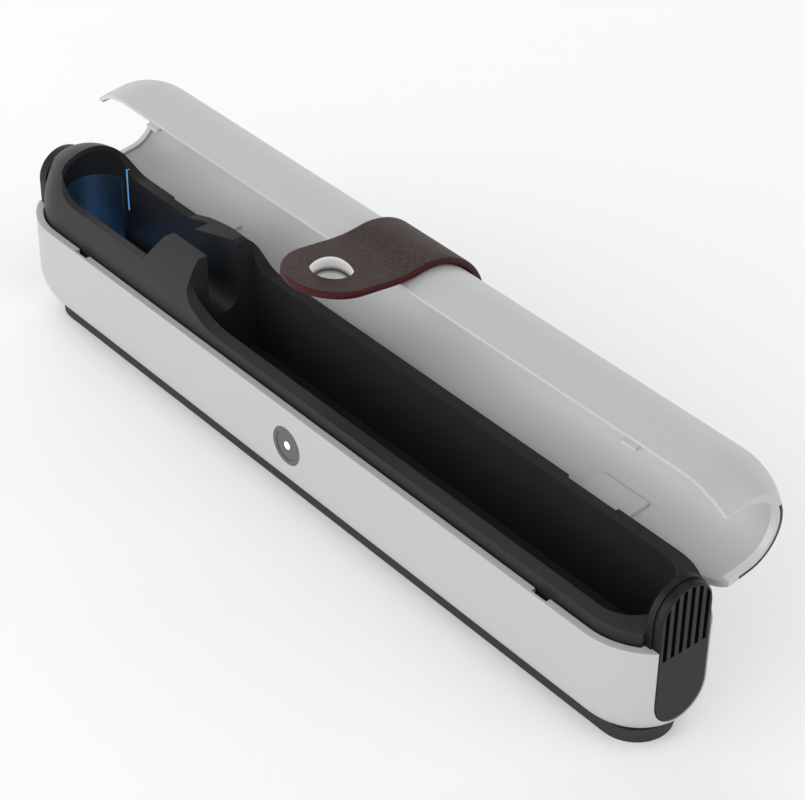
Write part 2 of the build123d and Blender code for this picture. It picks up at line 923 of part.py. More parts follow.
def arch_cut():
    """Arch in each lid end, with the relief that clears the cap's dome as the lid swings."""
    radius = cap_flange_width / 2 + swing_clearance
    reach = hypot(hinge_y, high_axis_z - hinge_z)
    rise = atan2(high_axis_z - hinge_z, hinge_y)
    relief_radius = reach + radius
    touch_z = hinge_z + relief_radius * sin(rise)
    inner_x = flange_back_x - swing_clearance
    outer_x = half_length + overshoot
    arch = end_stadium(radius, inner_x, outer_x, rim_z - overshoot)
    middle = (inner_x + outer_x) / 2
    sweep = rod("x", (middle, hinge_y, hinge_z), relief_radius, outer_x - inner_x)
    sweep &= block(inner_x, outer_x, -half_width, 0, rim_z - overshoot, touch_z)
    right = arch + sweep
    return right + mirror(right, Plane.YZ)


def trim_room():
    """Outer corner of the lid's right end, from just before the crown round to the back."""
    outer_half = corner_half_width(lid_end_x, 0)
    low_z = lid_rim_z + trim_end_height
    inner_x = lid_end_x - trim_depth
    outer_x = lid_end_x + overshoot
    zone = block(inner_x, outer_x, -trim_front_reach, half_width, low_z, sky_z)
    core = end_stadium(outer_half - trim_width, inner_x - overshoot, outer_x + overshoot)
    return zone - core


def lid_trim():
    return lid_form(0, lid_end_x, lid_rim_z) & trim_room()


def latch_tabs():
    tabs = Part()
    inner = inner_y + latch_clearance
    outer = inner + latch_thickness
    for x in (-latch_x, latch_x):
        half = latch_width / 2
        tabs += block(x - half, x + half, -outer, -inner, rim_z - latch_drop, lid_rim_z + wall)
    return tabs


def strap_rivet_places():
    z = lid_rim_z + strap_rivet_height
    return [(side * strap_rivet_spacing / 2, z) for side in (-1, 1)]


def lid_shell():
    lid = lid_form(0, lid_end_x, lid_rim_z)
    hollow = lid_form(wall, flange_back_x, rim_z - overshoot)
    lid -= hollow + Pos(0, lid_front_wall - wall, 0) * hollow
    lid -= arch_cut()
    lid -= trim_room() + mirror(trim_room(), Plane.YZ)
    lid += latch_tabs()
    for x in (-hinge_x, hinge_x):
        gap_high_z = hinge_z + leaf_edge_offset + arm_thickness + hinge_clearance
        lid -= hinge_wall_gap(x, rim_z - overshoot, gap_high_z)
        lid -= knuckle_room(x) + leaf_seat(x, 1)
        lid -= leaf_screw_holes(x, 1)
    for x, z in strap_rivet_places():
        radius = strap_rivet_shank_radius + strap_rivet_clearance
        lid -= rod("y", (x, half_width, z), radius, 2 * strap_rivet_bite)
    return lid


# Strap, drawn with the lid shut and the flap in line with the front wall

strap_inner_y = half_width + strap_gap
strap_outer_y = strap_inner_y + strap_thickness
bend_y = -(strap_inner_y + strap_thickness / 2)
bend_z = lid_rim_z + strap_bend_height
bend_line = Axis((0, bend_y, bend_z), (1, 0, 0))
snap_z = button_z - strap_slack


def strap_band():
    """Part of the strap that lies on the lid, from the back over the crown to the bend."""
    half = strap_width / 2
    back_z = lid_rim_z + strap_back_start
    front_z = bend_z + strap_thickness / 2 + bend_gap
    band = rod("x", (0, 0, high_axis_z), strap_outer_y, strap_width)
    band -= rod("x", (0, 0, high_axis_z), strap_inner_y, strap_width)
    band &= block(-half, half, -sky_z, sky_z, high_axis_z, 2 * sky_z)
    band += block(-half, half, strap_inner_y, strap_outer_y, back_z, high_axis_z)
    band += block(-half, half, -strap_outer_y, -strap_inner_y, front_z, high_axis_z)
    for x, z in strap_rivet_places():
        radius = strap_rivet_shank_radius + strap_rivet_clearance
        band -= rod("y", (x, half_width, z), radius, 6 * wall)
    return band


def strap_flap():
    """Free end of the strap, round about the snap, with a rolled edge at the bend."""
    half = strap_width / 2
    tongue = block(-half, half, -strap_outer_y, -strap_inner_y, snap_z, bend_z)
    tongue += rod("y", (0, bend_y, snap_z), half, strap_thickness)
    tongue += rod("x", (0, bend_y, bend_z), strap_thickness / 2, strap_width)
    tongue -= rod("y", (0, bend_y, snap_z), snap_post_radius + snap_clearance, 3 * wall)
    magnet_y = -strap_inner_y - snap_magnet_thickness / 2
    radius = snap_magnet_radius + snap_clearance
    return tongue - rod("y", (0, magnet_y, snap_z), radius, snap_magnet_thickness)


def snap_cap():
    """Domed metal cap with a post that goes through the leather to the magnet."""
    height = snap_cap_height
    sphere_radius = (snap_cap_radius**2 + height**2) / (2 * height)
    base_y = -strap_outer_y
    dome = Pos(0, base_y - height + sphere_radius, snap_z) * Sphere(sphere_radius)
    dome &= block(-half_width, half_width, base_y - 2 * height, base_y, 0, sky_z)
    post_length = strap_thickness - snap_magnet_thickness
    return dome + rod("y", (0, base_y + post_length / 2, snap_z), snap_post_radius, post_length)


def snap_magnet():
    y = -strap_inner_y - snap_magnet_thickness / 2
    return rod("y", (0, y, snap_z), snap_magnet_radius, snap_magnet_thickness)


def strap_rivets():
    """Two drive rivets through the strap's rear end, blind in the lid's rear wall."""
    rivets = []
    tip_y = half_width - strap_rivet_bite + contact_gap
    length = strap_outer_y - tip_y
    for x, z in strap_rivet_places():
        head_y = strap_outer_y + strap_rivet_head_height / 2
        head = rod("y", (x, head_y, z), strap_rivet_head_radius, strap_rivet_head_height)
        shank = rod("y", (x, tip_y + length / 2, z), strap_rivet_shank_radius, length)
        rivets.append(head + shank)
    return Compound(children=rivets)


def bend_flap(shape):
    """Bend a piece of the flap outward to its rest pose on the shut lid."""
    return shape.rotate(bend_line, -strap_rest_bend)


def base_pieces():
    pieces = {
        "lower_shell": lower_shell(),
        "base_pad": base_pad(),
        "inner_tray": inner_tray(),
        "end_cap_right": end_cap(),
        "end_cap_left": left_cap(),
        "tray_screws": tray_screws(),
        "main_board": main_board(),
        "board_chips": board_chips(),
        "board_screws": board_screws(),
        "battery": battery(),
        "battery_pads": battery_pads(),
        "charge_port": charge_port(),
        "lid_switch": lid_switch(),
        "uv_window": uv_window(),
        "uv_board": uv_board(),
        "uv_leds": uv_leds(),
        "uv_reflector": uv_reflector(),
        "uv_light_guide": light_guide_box(0),
        "button_board": button_board(),
        "tact_switches": tact_switches(),
        "indicator_led": indicator_led(),
        "hinge_base_screws": leaf_screws(-1),
    }
    for name, x in (("left", -hinge_x), ("right", hinge_x)):
        pieces["hinge_base_leaf_" + name] = hinge_leaf(x, -1)
        pieces["hinge_pin_" + name] = hinge_pin(x)
    return pieces


def button_pieces():
    return {"button_disc": button_disc(), "button_lens": button_lens()}


def lid_pieces():
    trim = lid_trim()
    pieces = {
        "lid_shell": lid_shell(),
        "lid_trim_right": trim,
        "lid_trim_left": mirror(trim, Plane.YZ),
        "hinge_lid_leaf_left": hinge_leaf(-hinge_x, 1),
        "hinge_lid_leaf_right": hinge_leaf(hinge_x, 1),
        "hinge_lid_screws": leaf_screws(1),
        "strap_band": strap_band(),
        "strap_rivets": strap_rivets(),
    }
    return {name: open_lid(shape) for name, shape in pieces.items()}


def flap_pieces():
    pieces = {
        "strap_flap": strap_flap(),
        "snap_cap": snap_cap(),
        "snap_magnet": snap_magnet(),
    }
    return {name: open_lid(bend_flap(shape)) for name, shape in pieces.items()}


os.makedirs("parts", exist_ok=True)
for group in (base_pieces(), button_pieces(), lid_pieces(), flap_pieces()):
    for node, shape in group.items():
        export_step(shape, "parts/" + node + ".step")
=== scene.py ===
import json
from math import cos, hypot, pi, radians, sin, tan

import bmesh
import bpy
from bpy.props import FloatProperty, FloatVectorProperty, IntProperty, PointerProperty
from bpy.types import Operator, Panel, PropertyGroup
from mathutils import Matrix, Vector


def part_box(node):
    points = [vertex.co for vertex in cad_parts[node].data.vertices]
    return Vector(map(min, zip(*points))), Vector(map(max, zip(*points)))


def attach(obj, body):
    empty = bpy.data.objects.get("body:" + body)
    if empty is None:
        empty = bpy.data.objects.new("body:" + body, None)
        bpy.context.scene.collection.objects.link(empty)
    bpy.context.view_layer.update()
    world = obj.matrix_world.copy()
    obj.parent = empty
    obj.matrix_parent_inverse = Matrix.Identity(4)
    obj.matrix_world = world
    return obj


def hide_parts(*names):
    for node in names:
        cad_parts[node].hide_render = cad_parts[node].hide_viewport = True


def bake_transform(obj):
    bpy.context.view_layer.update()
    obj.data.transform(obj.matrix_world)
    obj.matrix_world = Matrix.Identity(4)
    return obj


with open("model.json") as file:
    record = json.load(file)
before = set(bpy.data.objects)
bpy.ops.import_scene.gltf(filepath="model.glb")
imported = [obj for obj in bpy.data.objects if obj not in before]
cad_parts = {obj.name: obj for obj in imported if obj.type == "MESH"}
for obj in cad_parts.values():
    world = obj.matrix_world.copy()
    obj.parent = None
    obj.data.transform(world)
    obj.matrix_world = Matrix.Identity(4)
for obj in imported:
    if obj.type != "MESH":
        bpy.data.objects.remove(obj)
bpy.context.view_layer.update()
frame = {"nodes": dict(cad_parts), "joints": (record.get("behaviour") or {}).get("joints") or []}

bl_info = {
    "name": "Toothbrush steriliser case",
    "version": (1, 0, 0),
    "blender": (4, 5, 0),
    "location": "3D View > Sidebar > Steriliser",
    "description": "Dresses a lidded toothbrush steriliser case and sets its stage",
    "category": "Object",
}

joints = {joint["name"]: joint for joint in frame["joints"]}
hinge_point = Vector(joints["lid_hinge"]["pos_m"])
lid_turn = radians(joints["lid_hinge"]["range_deg"][1])


# Sizes and colours that a user would change


def length(name, text, value):
    """Property for a length in metres."""
    return FloatProperty(name=name, description=text, default=value, min=0.0, subtype="DISTANCE")


def colour(name, text, value):
    """Property for a linear colour."""
    return FloatVectorProperty(
        name=name, description=text, default=value, size=3, min=0.0, max=1.0, subtype="COLOR"
    )


class CaseColours(PropertyGroup):
    shell: colour("Shell", "Satin plastic of the base and lid", (0.475, 0.475, 0.478))
    # Painted light: paler colour of the lid's inner walls and rim, which brightens their shade.
    shell_painted_light: colour("Shell inside", "Bare inner wall and rim of the lid", (0.62, 0.62, 0.622))
    tray: colour("Tray", "Dark lining of the base", (0.02, 0.02, 0.021))
    cap: colour("Caps", "Fluted caps in both ends", (0.006, 0.006, 0.0065))
    # Foot pad: a real rubber pad, whose near-black colour also paints the contact shadow along the
    # bottom of the case.
    pad: colour("Foot pad", "Rubber under the belly", (0.018, 0.018, 0.019))
    trim: colour("Trim", "Dark line round the back of each lid end", (0.01, 0.01, 0.01))
    hide: colour("Leather", "Face of the strap", (0.062, 0.038, 0.03))
    hide_dark: colour("Leather shade", "Hollows of the grain", (0.026, 0.015, 0.012))
    # Pale flecks scattered at random by fine noise over the leather's face; they are not tied to
    # the grain's tips.
    hide_fleck: colour("Leather fleck", "Worn tips of the grain", (0.16, 0.13, 0.12))
    hide_edge: colour("Leather edge", "Paint on the strap's edges", (0.04, 0.001, 0.003))
    button: colour("Button", "Spun metal disc", (0.16, 0.16, 0.165))
    glow: colour("Lamp glow", "Light of the lamp window and light guide", (0.07, 0.28, 0.62))


class StrapSizes(PropertyGroup):
    width: length("Width", "Width of the leather", 0.023)
    thickness: length("Thickness", "Thickness of the leather", 0.0018)
    gap: length("Gap", "Gap between the leather and the lid", 0.00025)
    crown_radius: length("Crown radius", "Radius of the lid under the leather", 0.0146)
    crown_height: length("Crown centre", "Height of the crown's centre with the lid shut", 0.0357)
    rear_height: length("Rear end", "Height of the strap's rear end with the lid shut", 0.0312)
    bend_height: length("Bend", "Height of the bend with the lid shut", 0.0308)
    tongue: length("Tongue", "From the bend to the centre of the round tip", 0.0124)
    bend_run: length("Bend run", "Length of leather that turns at the bend", 0.009)
    edge_round: length("Edge round", "Radius of the painted edges", 0.0006)
    rear_round: length("Rear round", "Radius of the two rear corners", 0.003)
    rest_bend: FloatProperty(
        name="Rest bend",
        description="Angle of the free end at rest",
        default=radians(-joints["strap_bend"]["range_deg"][0]),
        subtype="ANGLE",
    )


class ScrewSizes(PropertyGroup):
    head_radius: length("Head radius", "Radius of the pan head", 0.0019)
    head_height: length("Head height", "Height of the pan head", 0.0012)
    recess_reach: length("Recess reach", "Half length of each arm of the cross recess", 0.00105)
    recess_width: length("Recess width", "Width of each arm of the cross recess", 0.00042)
    recess_depth: length("Recess depth", "Depth of the cross recess", 0.0007)
    shank_radius: length("Shank radius", "Radius of the threaded shank", 0.00095)
    shank_length: length("Shank length", "Length of the threaded shank", 0.00645)
    sides: IntProperty(name="Sides", description="Sides of the round head", default=48, min=16)


class StageLook(PropertyGroup):
    floor: colour("Floor", "Pale floor", (0.95, 0.95, 0.95))
    skyline: FloatProperty(name="Skyline", description="Brightness of the walls", default=1.5)
    zenith: FloatProperty(name="Zenith", description="Brightness of the ceiling", default=0.88)
    key: FloatProperty(
        name="Key", description="Power of the large soft light", default=2.4, unit="POWER"
    )
    lens: FloatProperty(name="Lens", description="Focal length in millimetres", default=106.97)


# Small helpers


def shut_to_open(y, z):
    """Place in the open rest pose of a point of the shut lid."""
    dy, dz = y - hinge_point.y, z - hinge_point.z
    turned_y = dy * cos(lid_turn) + dz * sin(lid_turn)
    turned_z = -dy * sin(lid_turn) + dz * cos(lid_turn)
    return hinge_point.y + turned_y, hinge_point.z + turned_z


def new_object(name, data):
    piece = bpy.data.objects.new(name, data)
    bpy.context.scene.collection.objects.link(piece)
    return piece


def smooth(mesh, angle=40.0):
    mesh.shade_smooth()
    mesh.set_sharp_from_angle(angle=radians(angle))


def dress(material, *names):
    """Give a material to CAD nodes."""
    for name in names:
        mesh = frame["nodes"][name].data
        mesh.materials.clear()
        mesh.materials.append(material)


def start_material(name):
    """New material with its node tree and its shader."""
    material = bpy.data.materials.new(name)
    material.use_nodes = True
    tree = material.node_tree
    return material, tree, tree.nodes["Principled BSDF"]


def add(tree, kind, place, **values):
    """Add a node at a place in the tree and set its own options."""
    node = tree.nodes.new(kind)
    node.location = place
    for key, value in values.items():
        setattr(node, key, value)
    return node


def put(node, **values):
    """Set sockets by name, with underscores for spaces."""
    for key, value in values.items():
        node.inputs[key.replace("_", " ")].default_value = value
    return node


def socket(tree, name, kind, direction="INPUT", value=None):
    """Add an input or output to a node group."""
    made = tree.interface.new_socket(name=name, in_out=direction, socket_type="NodeSocket" + kind)
    if value is not None:
        made.default_value = value


def rgba(value):
    return (*value, 1.0)


def mixer(tree, place):
    return add(tree, "ShaderNodeMix", place, data_type="RGBA")


# Shared shader effects


def moulded_skin():
    """Fine spark-eroded grain with slight changes of tone and gloss."""
    found = bpy.data.node_groups.get("moulded skin")
    if found:
        return found
    tree = bpy.data.node_groups.new("moulded skin", "ShaderNodeTree")
    socket(tree, "Colour", "Color")
    socket(tree, "Tone", "Float", value=0.04)
    socket(tree, "Roughness", "Float", value=0.4)
    socket(tree, "Gloss Change", "Float", value=0.08)
    socket(tree, "Grain Size", "Float", value=2500.0)
    socket(tree, "Grain Depth", "Float", value=0.2)
    socket(tree, "Colour", "Color", "OUTPUT")
    socket(tree, "Roughness", "Float", "OUTPUT")
    socket(tree, "Normal", "Vector", "OUTPUT")
    given = add(tree, "NodeGroupInput", (-900, 0))
    result = add(tree, "NodeGroupOutput", (700, 0))
    place = add(tree, "ShaderNodeTexCoord", (-900, -300))
    broad = put(add(tree, "ShaderNodeTexNoise", (-650, 250)), Scale=45.0, Detail=3.0)
    grain = put(add(tree, "ShaderNodeTexNoise", (-650, -250)), Detail=3.0, Roughness=0.65)
    link = tree.links.new
    link(place.outputs["Object"], broad.inputs["Vector"])
    link(place.outputs["Object"], grain.inputs["Vector"])
    link(given.outputs["Grain Size"], grain.inputs["Scale"])
    centred = add(tree, "ShaderNodeMath", (-430, 250), operation="SUBTRACT")
    centred.inputs[1].default_value = 0.5
    link(broad.outputs["Fac"], centred.inputs[0])
    tone = add(tree, "ShaderNodeMath", (-230, 320), operation="MULTIPLY_ADD")
    tone.inputs[2].default_value = 1.0
    link(centred.outputs[0], tone.inputs[0])
    link(given.outputs["Tone"], tone.inputs[1])
    tinted = add(tree, "ShaderNodeVectorMath", (0, 300), operation="SCALE")
    link(given.outputs["Colour"], tinted.inputs[0])
    link(tone.outputs[0], tinted.inputs["Scale"])
    link(tinted.outputs[0], result.inputs["Colour"])
    gloss = add(tree, "ShaderNodeMath", (-230, 80), operation="MULTIPLY_ADD")
    link(centred.outputs[0], gloss.inputs[0])
    link(given.outputs["Gloss Change"], gloss.inputs[1])
    link(given.outputs["Roughness"], gloss.inputs[2])
    link(gloss.outputs[0], result.inputs["Roughness"])
    bump = put(add(tree, "ShaderNodeBump", (200, -200)), Distance=0.00004)
    link(grain.outputs["Fac"], bump.inputs["Height"])
    link(given.outputs["Grain Depth"], bump.inputs["Strength"])
    link(bump.outputs["Normal"], result.inputs["Normal"])
    return tree


def drawn_lines():
    """Brushed metal: long thin lines along one axis, in tone, gloss and relief."""
    found = bpy.data.node_groups.get("drawn lines")
    if found:
        return found
    tree = bpy.data.node_groups.new("drawn lines", "ShaderNodeTree")
    socket(tree, "Colour", "Color")
    socket(tree, "Stretch", "Vector", value=(60.0, 6000.0, 6000.0))
    socket(tree, "Roughness", "Float", value=0.3)
    socket(tree, "Colour", "Color", "OUTPUT")
    socket(tree, "Roughness", "Float", "OUTPUT")
    socket(tree, "Normal", "Vector", "OUTPUT")
    given = add(tree, "NodeGroupInput", (-900, 0))
    result = add(tree, "NodeGroupOutput", (700, 0))
    place = add(tree, "ShaderNodeTexCoord", (-900, -300))
    scaled = add(tree, "ShaderNodeVectorMath", (-700, -200), operation="MULTIPLY")
    lines = put(add(tree, "ShaderNodeTexNoise", (-500, -100)), Scale=1.0, Detail=2.0)
    link = tree.links.new
    link(place.outputs["Object"], scaled.inputs[0])
    link(given.outputs["Stretch"], scaled.inputs[1])
    link(scaled.outputs[0], lines.inputs["Vector"])
    tone = put(add(tree, "ShaderNodeMapRange", (-250, 250)), To_Min=0.8, To_Max=1.15)
    link(lines.outputs["Fac"], tone.inputs["Value"])
    tinted = add(tree, "ShaderNodeVectorMath", (0, 300), operation="SCALE")
    link(given.outputs["Colour"], tinted.inputs[0])
    link(tone.outputs["Result"], tinted.inputs["Scale"])
    link(tinted.outputs[0], result.inputs["Colour"])
    gloss = add(tree, "ShaderNodeMath", (-250, 0), operation="MULTIPLY_ADD")
    gloss.inputs[1].default_value = 0.16
    link(lines.outputs["Fac"], gloss.inputs[0])
    link(given.outputs["Roughness"], gloss.inputs[2])
    link(gloss.outputs[0], result.inputs["Roughness"])
    bump = put(add(tree, "ShaderNodeBump", (200, -200)), Strength=0.15, Distance=0.00002)
    link(lines.outputs["Fac"], bump.inputs["Height"])
    link(bump.outputs["Normal"], result.inputs["Normal"])
    return tree


def moulded(name, tone_colour, roughness, grain=(2500.0, 0.2), tone=0.04, gloss=0.08):
    """Material of a moulded piece. Its grain is given as a scale and a depth."""
    material, tree, shader = start_material(name)
    skin = add(tree, "ShaderNodeGroup", (-300, 0), node_tree=moulded_skin())
    put(skin, Colour=rgba(tone_colour), Roughness=roughness, Tone=tone, Gloss_Change=gloss)
    put(skin, Grain_Size=grain[0], Grain_Depth=grain[1])
    for way in ("Roughness", "Normal"):
        tree.links.new(skin.outputs[way], shader.inputs[way])
    tree.links.new(skin.outputs["Colour"], shader.inputs["Base Color"])
    return material


def shell_plastic(name, shell_colour):
    """Satin white plastic of the base and lid."""
    material = moulded(name, shell_colour, 0.42, grain=(3200.0, 0.12), tone=0.03, gloss=0.06)
    put(material.node_tree.nodes["Principled BSDF"], Coat_Weight=0.08, Coat_Roughness=0.25)
    return material


def lid_plastic(colours, crown_height):
    """Shell plastic with painted light: a paler colour on the lid's inner walls and rim stands in
    for light in the lid's shaded hollow and along its edge.
    """
    material = shell_plastic("lid shell plastic", colours.shell)
    tree = material.node_tree
    link = tree.links.new
    skin = next(node for node in tree.nodes if node.type == "GROUP")
    place = add(tree, "ShaderNodeTexCoord", (-1300, 0))

    # An inner wall faces the line along the middle of the lid.
    away = add(tree, "ShaderNodeVectorMath", (-1100, 0), operation="SUBTRACT")
    away.inputs[1].default_value = (0.0, *shut_to_open(0.0, crown_height))
    level = add(tree, "ShaderNodeVectorMath", (-900, 0), operation="MULTIPLY")
    level.inputs[1].default_value = (0.0, 1.0, 1.0)
    facing = add(tree, "ShaderNodeVectorMath", (-700, -100), operation="DOT_PRODUCT")
    inside = put(add(tree, "ShaderNodeMapRange", (-500, -200)), From_Min=-0.004, From_Max=-0.002)
    put(inside, To_Min=1.0, To_Max=0.0)
    link(place.outputs["Object"], away.inputs[0])
    link(away.outputs[0], level.inputs[0])
    link(level.outputs[0], facing.inputs[0])
    link(place.outputs["Normal"], facing.inputs[1])
    link(facing.outputs["Value"], inside.inputs["Value"])

    # The rim faces straight down with the lid shut.
    down = add(tree, "ShaderNodeVectorMath", (-700, -400), operation="DOT_PRODUCT")
    down.inputs[1].default_value = (0.0, -sin(lid_turn), -cos(lid_turn))
    rim = put(add(tree, "ShaderNodeMapRange", (-500, -500)), From_Min=0.85, From_Max=0.95)
    link(place.outputs["Normal"], down.inputs[0])
    link(down.outputs["Value"], rim.inputs["Value"])

    # Painted light: mask of the inner walls and rim that take the paler colour.
    painted_light_mask = add(tree, "ShaderNodeMath", (-300, -300), operation="MAXIMUM")
    both = mixer(tree, (-450, 200))
    both.inputs["A"].default_value = rgba(colours.shell)
    both.inputs["B"].default_value = rgba(colours.shell_painted_light)
    link(inside.outputs["Result"], painted_light_mask.inputs[0])
    link(rim.outputs["Result"], painted_light_mask.inputs[1])
    link(painted_light_mask.outputs[0], both.inputs["Factor"])
    link(both.outputs["Result"], skin.inputs["Colour"])
    return material


def drawn_metal(name, metal_colour, roughness, stretch):
    """Material of a brushed metal piece."""
    material, tree, shader = start_material(name)
    lines = add(tree, "ShaderNodeGroup", (-300, 0), node_tree=drawn_lines())
    put(lines, Colour=rgba(metal_colour), Roughness=roughness, Stretch=stretch)
    put(shader, Metallic=1.0)
    for way in ("Roughness", "Normal"):
        tree.links.new(lines.outputs[way], shader.inputs[way])
    tree.links.new(lines.outputs["Colour"], shader.inputs["Base Color"])
    return material


# Strap


def strap_leather(colours):
    """Brown hide with pebbled grain, small creases and burgundy painted edges."""
    material, tree, shader = start_material("strap leather")
    link = tree.links.new
    flat = add(tree, "ShaderNodeUVMap", (-1300, 0), uv_map="hide")
    wander = put(add(tree, "ShaderNodeTexNoise", (-1100, -200)), Scale=900.0, Detail=2.0)
    link(flat.outputs["UV"], wander.inputs["Vector"])
    shift = add(tree, "ShaderNodeVectorMath", (-900, -100), operation="MULTIPLY_ADD")
    shift.inputs[1].default_value = (0.0006, 0.0006, 0.0)
    link(wander.outputs["Color"], shift.inputs[0])
    link(flat.outputs["UV"], shift.inputs[2])
    pebbles = add(tree, "ShaderNodeTexVoronoi", (-700, 100), feature="DISTANCE_TO_EDGE")
    put(pebbles, Scale=1500.0)
    link(shift.outputs[0], pebbles.inputs["Vector"])
    creases = add(tree, "ShaderNodeTexVoronoi", (-700, -200), feature="DISTANCE_TO_EDGE")
    put(creases, Scale=420.0)
    link(shift.outputs[0], creases.inputs["Vector"])
    patches = put(add(tree, "ShaderNodeTexNoise", (-700, 400)), Scale=160.0, Detail=5.0)
    put(patches, Roughness=0.7)
    link(flat.outputs["UV"], patches.inputs["Vector"])
    fine = put(add(tree, "ShaderNodeTexNoise", (-700, -500)), Scale=3000.0, Detail=2.0)
    link(flat.outputs["UV"], fine.inputs["Vector"])
    hollow = put(add(tree, "ShaderNodeMapRange", (-480, 100)), From_Max=0.22)
    link(pebbles.outputs["Distance"], hollow.inputs["Value"])
    crease = put(add(tree, "ShaderNodeMapRange", (-480, -200)), From_Max=0.08)
    link(creases.outputs["Distance"], crease.inputs["Value"])
    relief = add(tree, "ShaderNodeMath", (-260, -100), operation="MULTIPLY_ADD")
    relief.inputs[1].default_value = 0.5
    link(crease.outputs["Result"], relief.inputs[0])
    link(hollow.outputs["Result"], relief.inputs[2])
    rough_relief = add(tree, "ShaderNodeMath", (-80, -200), operation="MULTIPLY_ADD")
    rough_relief.inputs[1].default_value = 0.6
    link(fine.outputs["Fac"], rough_relief.inputs[0])
    link(relief.outputs[0], rough_relief.inputs[2])
    tone = put(add(tree, "ShaderNodeMapRange", (-480, 400)), From_Min=0.3, From_Max=0.7)
    link(patches.outputs["Fac"], tone.inputs["Value"])
    depth = add(tree, "ShaderNodeMath", (-260, 250), operation="MULTIPLY")
    link(tone.outputs["Result"], depth.inputs[0])
    link(hollow.outputs["Result"], depth.inputs[1])
    ground = mixer(tree, (-100, 450))
    ground.inputs["A"].default_value = rgba(colours.hide_dark)
    ground.inputs["B"].default_value = rgba(colours.hide)
    link(depth.outputs[0], ground.inputs["Factor"])
    # Pale flecks scattered at random by fine noise, not tied to the grain.
    fleck = put(add(tree, "ShaderNodeMapRange", (-260, 450)), From_Min=0.58, From_Max=0.72)
    fleck.inputs["To Max"].default_value = 0.75
    link(fine.outputs["Fac"], fleck.inputs["Value"])
    face = mixer(tree, (60, 400))
    face.inputs["B"].default_value = rgba(colours.hide_fleck)
    link(ground.outputs["Result"], face.inputs["A"])
    link(fleck.outputs["Result"], face.inputs["Factor"])
    edge = add(tree, "ShaderNodeAttribute", (0, 60), attribute_name="edge_paint")
    painted = mixer(tree, (220, 250))
    painted.inputs["B"].default_value = rgba(colours.hide_edge)
    link(face.outputs["Result"], painted.inputs["A"])
    link(edge.outputs["Fac"], painted.inputs["Factor"])
    link(painted.outputs["Result"], shader.inputs["Base Color"])
    gloss = put(add(tree, "ShaderNodeMapRange", (220, 0)), To_Min=0.62, To_Max=0.4)
    link(edge.outputs["Fac"], gloss.inputs["Value"])
    link(gloss.outputs["Result"], shader.inputs["Roughness"])
    bump = put(add(tree, "ShaderNodeBump", (220, -250)), Strength=0.55, Distance=0.00007)
    link(rough_relief.outputs[0], bump.inputs["Height"])
    link(bump.outputs["Normal"], shader.inputs["Normal"])
    put(shader, Specular_IOR_Level=0.22)
    return material


def strap_runs(sizes):
    """Radii and straight runs of the strap's middle line, and how far the bend takes from both."""
    radius = sizes.crown_radius + sizes.gap + sizes.thickness / 2
    bend_radius = sizes.bend_run / sizes.rest_bend
    lead = bend_radius * tan(sizes.rest_bend / 2)
    rear = sizes.crown_height - sizes.rear_height
    front = sizes.crown_height - sizes.bend_height - lead
    return radius, bend_radius, lead, rear, front


def strap_station(sizes, run):
    """Place and outward direction of the strap's middle line at a run from its rear end."""
    radius, bend_radius, lead, rear, front = strap_runs(sizes)
    if run < rear:
        return (radius, sizes.rear_height + run), (1.0, 0.0)
    run -= rear
    crown = pi * radius
    if run < crown:
        turn = run / radius
        out = (cos(turn), sin(turn))
        return (radius * out[0], sizes.crown_height + radius * out[1]), out
    run -= crown
    if run < front:
        return (-radius, sizes.crown_height - run), (-1.0, 0.0)
    run -= front
    turn = min(run / bend_radius, sizes.rest_bend)
    past = run - turn * bend_radius
    y = -radius - bend_radius * (1 - cos(turn)) - past * sin(turn)
    z = sizes.bend_height + lead - bend_radius * sin(turn) - past * cos(turn)
    return (y, z), (-cos(turn), sin(turn))


def strap_length(sizes):
    radius, _, lead, rear, front = strap_runs(sizes)
    tongue = sizes.tongue + sizes.width / 2 - lead
    return rear + pi * radius + front + sizes.bend_run + tongue


def strap_rows(sizes):
    """Rows across the flat strap inside its edge round, as (run, half width), and its tip."""
    corner_steps, run_steps, tip_steps = 6, 120, 25
    total = strap_length(sizes)
    half = sizes.width / 2
    corner = sizes.rear_round
    inner = corner - sizes.edge_round
    rows = []
    for step in range(corner_steps + 1):
        turn = radians(90 * step / corner_steps)
        rows.append((corner - inner * cos(turn), half - corner + inner * sin(turn)))
    tip_start = total - half
    inner = half - sizes.edge_round
    for step in range(1, run_steps + 1):
        rows.append((corner + (tip_start - corner) * step / run_steps, inner))
    for step in range(1, tip_steps):
        turn = radians(90 * step / tip_steps)
        rows.append((tip_start + inner * sin(turn), inner * cos(turn)))
    return rows, total - sizes.edge_round


def flat_outward(sizes, run, across):
    """Outward direction of the flat strap's outline near a point on its inner edge."""
    total = strap_length(sizes)
    half = sizes.width / 2
    side = 1.0 if across > 0 else -1.0
    if run > total - half:
        ahead = run - (total - half)
        reach = hypot(ahead, across)
        return ahead / reach, across / reach
    if run < sizes.rear_round:
        back = run - sizes.rear_round
        out = across - side * (half - sizes.rear_round)
        reach = hypot(back, out)
        if abs(across) < half - sizes.rear_round:
            return -1.0, 0.0
        return back / reach, out / reach
    return 0.0, side


